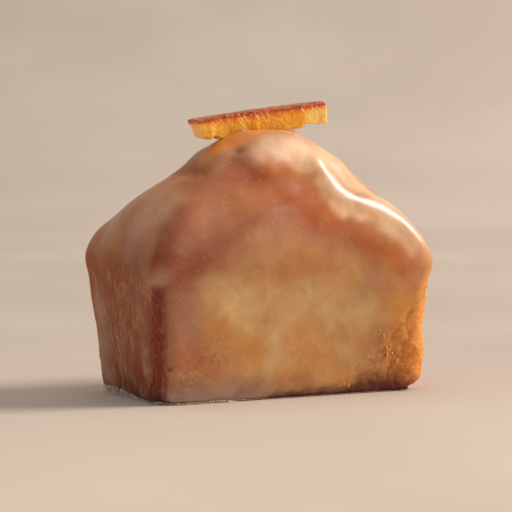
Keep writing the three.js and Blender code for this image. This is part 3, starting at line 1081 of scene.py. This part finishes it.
def mark(obj):
    """Stores a number from 0 to 1 for each of these, and for combed sides and white specks."""
    points = read_points(obj)
    normals = read_normals(obj)
    x, _, z = wander(points).T
    faces_left, faces_right, faces_front, _ = facing(normals)
    above_rim = step(z, 36, 48)
    store(obj, "comb", np.maximum(faces_left, faces_right) * step(-z, -40, -30))
    depth = bare_depth(points, normals)
    store(obj, "bare", np.where(x > 20, step(depth, -6, 3), step(depth, -2.2, 1.0)))
    crumb = np.max([near_path(points, path, radius) for path, radius in CRUMB_PLACES], axis=0)
    store(obj, "crumb", crumb)
    wet = (0.3 + 0.7 * step(z, 34, 44)) * (1 - 0.8 * faces_left * (1 - above_rim))
    for path, radius, share in DULL_PLACES:
        wet = wet * (1 - share * near_path(points, path, radius))
    store(obj, "wet", wet)
    shade = step(-x, 20, 38) * faces_front
    store(obj, "specks", np.clip(0.5 + shade + 0.6 * above_rim * (x < 0), 0, 1))
    return wet


for obj in (body, glaze):
    wet = mark(obj)
    print(obj.name, "is marked, glossy on average", wet.mean().round(3))

# %% The fine cloudiness between the dabs
def tint(colour, mask, red, green, blue):
    """The colour with its light made stronger or weaker, as far as the mask is 1."""
    return mask.mix(colour, vector_maths(colour, "MULTIPLY", (red, green, blue)))


def part(place, axis):
    """One of the three numbers of a place: 0 for x, 1 for y, 2 for z."""
    return place.node("ShaderNodeSeparateXYZ", {}, {0: place}, axis)


def crust_colour(place):
    """The baked colour at a place, as seen through a thin clear glaze."""
    colour = place.node("ShaderNodeAttribute", {"attribute_name": "crust"}, {}, 0)
    broad = noise(place, 7, 2, 0.6)
    small = noise(place, 3.2, 3, 0.5, 7)
    colour = tint(colour, broad.ramp(0.42, 0.78) * 0.6, 0.88, 0.74, 0.58)
    colour = tint(colour, (1 - broad).ramp(0.5, 0.75) * 0.6, 1.08, 1.12, 1.16)
    colour = tint(colour, small.ramp(0.42, 0.78) * 0.45, 0.9, 0.78, 0.62)
    fine = noise(place, 1.1, 4, 0.8, 15)
    colour = tint(colour, fine.ramp(0.5, 0.68) * 0.2, 0.86, 0.76, 0.62)
    colour = tint(colour, (1 - fine).ramp(0.5, 0.68) * 0.25, 1.12, 1.14, 1.16)
    grains = noise(place, 1.4, 5, 0.8, 3)
    crumb = read(place, "crumb")
    colour = tint(colour, crumb * grains.ramp(0.5, 0.66) * 0.75, 0.66, 0.5, 0.34)
    colour = tint(colour, crumb * (1 - grains).ramp(0.5, 0.66) * 0.6, 1.2, 1.12, 0.85)
    comb = noise(stretch(place, 1.0, 0.5, 3.2), 1.0, 3, 0.8, 5)
    bands = noise(stretch(place, 9.0, 3.2, 9.0), 1.0, 2, 0, 9)
    streaks = read(place, "comb") * comb.ramp(0.46, 0.62) * bands.ramp(0.4, 0.6)
    colour = (streaks * 0.8).mix(colour, linear(208, 158, 118))
    hollows = read(place, "comb") * (1 - comb).ramp(0.5, 0.66)
    colour = tint(colour, hollows * 0.4, 0.7, 0.56, 0.46)
    return colour, grains * crumb * 1.6


def bare_colour(place, colour):
    """The same, turning into rough dry crust inside the bare patches, with light and shade painted in:
    darker on the shaded left side, brightest at the lit right edge.
    """
    pores = noise(place, 0.7, 3, 0.2, 9)
    # painted light and shade: dry crust darker on the shaded left, brighter on the lit right and
    # brightest at the far right edge
    lit_side = part(place, 0).ramp(-10, 20)
    lit_far_edge = part(place, 0).ramp(30, 40)
    dry = lit_far_edge.mix(linear(226, 150, 76), linear(248, 172, 86))
    hollow = lit_far_edge.mix(linear(206, 122, 56), linear(234, 146, 66))
    dry = lit_side.mix(linear(156, 64, 38), dry)
    hollow = lit_side.mix(linear(124, 44, 26), hollow)
    dry = (1 - pores.ramp(0.4, 0.6)).mix(dry, hollow)
    golden = noise(place, 1.3, 2, 0.2, 13).ramp(0.56, 0.66) * (1 - lit_side)
    dry = (golden * 0.6).mix(dry, linear(186, 96, 50))
    low = part(place, 2) + (noise(place, 3, 3, 0, 5) - 0.5) * 7 - lit_side * 1.2 + lit_far_edge * 2.6
    dry = low.ramp(0.5, 7.0).mix(linear(108, 48, 32), dry)
    return read(place, "bare").mix(colour, dry), pores


# %% [markdown]
# ## Materials of the loaf and its glaze
# The glaze is a thin clear coat over a scattering body: a coat on the shader gives the sharp
# wet reflections, the body below carries the colour of the crust and lets light wander a few
# millimetres, which is what makes the lit edges glow.

# %% Finish of the glaze
material, shader, place = start_material("set_sugar_glaze")
colour, grains = crust_colour(place)
haze = noise(place, 5.0, 3, 0.6, 11).ramp(0.5, 0.8) * 0.15
colour = haze.mix(colour, MILK)
wisps = noise(place, 2.2, 3, 0.6, 17).ramp(0.54, 0.72) * 0.35
colour = tint(colour, wisps, 1.1, 1.14, 1.22)
veil = noise(place, 6.0, 2, 0.3, 21).ramp(0.42, 0.72) * 0.45
colour = tint(colour, veil, 1.08, 1.13, 1.19)
colour, pores = bare_colour(place, colour)
speck = (1 - dots(place, 1.1, 2).ramp(0.06, 0.17)) * dot_numbers(place, 1.1, 2).ramp(0.4, 0.6)
colour = (speck * read(place, "specks") * 0.6).mix(colour, linear(250, 224, 200))
connect(shader, "Base Color", colour)
rough_height = noise(place, 1.4, 2, 0.2, 4) * 0.3 + grains + pores * read(place, "bare")
connect(shader, "Normal", bump(place, rough_height, 0.45, 0.35))
wet = read(place, "wet") * (1 - read(place, "bare"))
connect(shader, "Coat Weight", wet)
connect(shader, "Roughness", 0.6 - 0.22 * wet)
shader.inputs["Specular IOR Level"].default_value = 0.2
shader.inputs["Subsurface Weight"].default_value = 0.8
shader.inputs["Subsurface Radius"].default_value = (1.0, 0.65, 0.4)
shader.inputs["Subsurface Scale"].default_value = 0.0014
shader.inputs["Coat Roughness"].default_value = 0.41
shader.inputs["Coat IOR"].default_value = 1.85
glaze_material = finished(material)

# %% Finish of the bare crust
material, shader, place = start_material("baked_crust")
colour, _ = crust_colour(place)
colour, pores = bare_colour(place, colour)
connect(shader, "Base Color", colour)
connect(shader, "Normal", bump(place, pores, 0.4, 0.35))
shader.inputs["Roughness"].default_value = 0.5
shader.inputs["Subsurface Weight"].default_value = 0.6
shader.inputs["Subsurface Radius"].default_value = (1.0, 0.4, 0.15)
shader.inputs["Subsurface Scale"].default_value = 0.003
shader.inputs["Specular IOR Level"].default_value = 0.3
shader.inputs["Coat Weight"].default_value = 0.15
shader.inputs["Coat Roughness"].default_value = 0.2
crust_material = finished(material)

# %% [markdown]
# ## Material of the peel
# The rind is a thin dark orange skin, mottled in two shades; under it the pith runs from burnt
# orange to clear amber, crossed by pale walls between the oil glands, with sugar grains on it,
# painted near white so they also stand for glint. Light passes through clear pith. A glass shader
# could do that, but slowly and with noise, so the pith scatters light, and a painted glow does the
# rest: paler ends and a little emission, strongest towards the left end.

# %% Finish of the candied peel
material, shader, place = start_material("candied_orange_peel")
depth = read(place, "depth")
along = read(place, "along")
cloud = noise(place, 2.5, 3, 0.3)
pores = noise(place, 0.8, 3, 0.3, 6)
rind_colour = pores.ramp(0.42, 0.62).mix(linear(190, 96, 34), linear(158, 64, 20))
colour = (depth + (cloud - 0.5) * 1.8).ramp(1.2, 3.4).mix(linear(236, 136, 20), linear(252, 176, 30))
colour = (cloud.ramp(0.5, 0.8) * depth.ramp(3.0, 5.0)).mix(colour, linear(226, 138, 28))
colour = (depth + (cloud - 0.5) * 1.0).ramp(0.5, 1.7).mix(rind_colour, colour)
# painted glow: both ends and the left cut face paler, where light coming through the pith shows
right_glow = (along + (cloud - 0.5) * 5).ramp(11, 17) * depth.ramp(0.8, 2.4)
colour = right_glow.mix(colour, linear(254, 212, 110))
left_glow = (0 - along + (cloud - 0.5) * 4).ramp(12, 18) * depth.ramp(0.8, 2.4)
colour = (left_glow * 0.7).mix(colour, linear(255, 196, 70))
left_face_glow = (0 - along).ramp(19.2, 20.2) * depth.ramp(0.8, 1.6)
colour = left_face_glow.mix(colour, linear(254, 196, 80))
colour = (read(place, "glands").ramp(0.2, 0.6) * 0.7).mix(colour, linear(255, 226, 190))
# sugar grains, painted near white so they also stand for glint
sugar = (1 - dots(place, 0.6, 3).ramp(0.14, 0.34)) * dot_numbers(place, 0.6, 3).ramp(0.45, 0.6)
colour = (sugar * depth.ramp(0.6, 1.4) * 0.85).mix(colour, linear(255, 236, 196))
connect(shader, "Base Color", colour)
crystals = noise(place, 0.5, 3) + pores * (1 - depth.ramp(0.3, 1.2))
connect(shader, "Normal", bump(place, crystals, 0.6, 0.25))
# painted glow: a little emission, strongest towards the left end, stands in for light coming through the
# pith
left_end = (0 - along).ramp(12, 20) + 0.3
through = (depth.ramp(0.8, 2.4) * left_end).mix((0, 0, 0, 1), linear(244, 150, 10))
connect(shader, "Emission Color", through)
shader.inputs["Emission Strength"].default_value = 0.2
shader.inputs["Roughness"].default_value = 0.4
shader.inputs["Specular IOR Level"].default_value = 0.3
shader.inputs["Subsurface Weight"].default_value = 0.85
shader.inputs["Subsurface Radius"].default_value = (1.0, 0.55, 0.05)
shader.inputs["Subsurface Scale"].default_value = 0.004
shader.inputs["Coat Weight"].default_value = 0.8
shader.inputs["Coat Roughness"].default_value = 0.1
peel_material = finished(material)

# %% [markdown]
# ## Finishes of the glaze foot and the beads
# Where glaze pooled on the table it set thick and greyish, with painted highlights as near-white
# flecks, and its front is painted darker as shade. The beads stayed clear and show the crust behind
# them. Real glass would show it too, but at this size a drop in the colour of the crust under a
# smooth coat looks the same.

# %% Finish of the glaze foot
material, shader, place = start_material("pooled_glaze")
milky = noise(place, 1.6, 3, 0.4)
colour = milky.ramp(0.4, 0.7).mix(linear(146, 116, 100), linear(180, 156, 144))
# painted shade: the front of the foot is darker, where the contact shadow along the front of the loaf
# falls
colour = (0 - part(place, 1)).ramp(17, 20).mix(colour, linear(150, 116, 98))
# painted highlights: near-white flecks on the pooled glaze, standing in for glint
painted_glints = noise(place, 0.6, 2, 0.3, 5).ramp(0.56, 0.64)
connect(shader, "Base Color", (painted_glints * 0.7).mix(colour, linear(246, 240, 234)))
connect(shader, "Normal", bump(place, noise(place, 0.8, 2), 0.3, 0.2))
shader.inputs["Roughness"].default_value = 0.3
shader.inputs["Subsurface Weight"].default_value = 0.5
shader.inputs["Subsurface Radius"].default_value = (1.0, 0.7, 0.5)
shader.inputs["Subsurface Scale"].default_value = 0.002
shader.inputs["Coat Weight"].default_value = 1.0
shader.inputs["Coat Roughness"].default_value = 0.06
foot_material = finished(material)

# %% Finish of the beads
material, shader, place = start_material("clear_drops")
shader.inputs["Base Color"].default_value = linear(226, 160, 92)
shader.inputs["Roughness"].default_value = 0.2
shader.inputs["Coat Weight"].default_value = 1.0
shader.inputs["Coat Roughness"].default_value = 0.05
bead_material = finished(material)

# %% [markdown]
# ## Finish of the table
# A pale matte table top, a little uneven, with shade and light painted on it: darker from the camera
# to just behind the cake, where the cake's soft shadow and the fall of the light would be, and
# lighter again far behind. A shade before the lamp could do that, but it would also darken the cake,
# so the colour of the sheet carries the painted shade instead.

# %% Finish of the backdrop
material, shader, place = start_material("pale_table")
drift = noise(place, 160, 3, 0.3)
grain = noise(place, 1.3, 3)
far = vector_maths(place, "DOT_PRODUCT", (-math.sin(AZIMUTH), math.cos(AZIMUTH), 0), 1)
colour = (drift.ramp(0.3, 0.7) * 0.6 + grain * 0.25).mix(linear(206, 189, 174), linear(220, 204, 187))
# painted shade and light: darker from the near edge to just behind the cake, lighter again far behind
colour = tint(colour, far.ramp(-180, 10), 0.88, 0.88, 0.9)
colour = tint(colour, far.ramp(20, 150), 0.93, 0.94, 0.945)
colour = tint(colour, far.ramp(250, 1100), 1.09, 1.1, 1.11)
connect(shader, "Base Color", colour)
shader.inputs["Roughness"].default_value = 0.8
backdrop.data.materials.append(finished(material))

# %% Put each finish on its piece
FINISHES = [
    (body, crust_material, "cake"),
    (glaze, glaze_material, "glaze"),
    (foot, foot_material, "glaze"),
    (drops, bead_material, "glaze"),
    (peel, peel_material, "candied_peel"),
]
bpy.data.objects.remove(form)
for piece, finish, slot in FINISHES:
    piece.data.materials.clear()
    piece.data.materials.append(finish)
    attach(piece, "root")
    piece.data.calc_loop_triangles()
    print(piece.name, len(piece.data.loop_triangles), "triangles,", finish.name)
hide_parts("cake")
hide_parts("candied_peel")
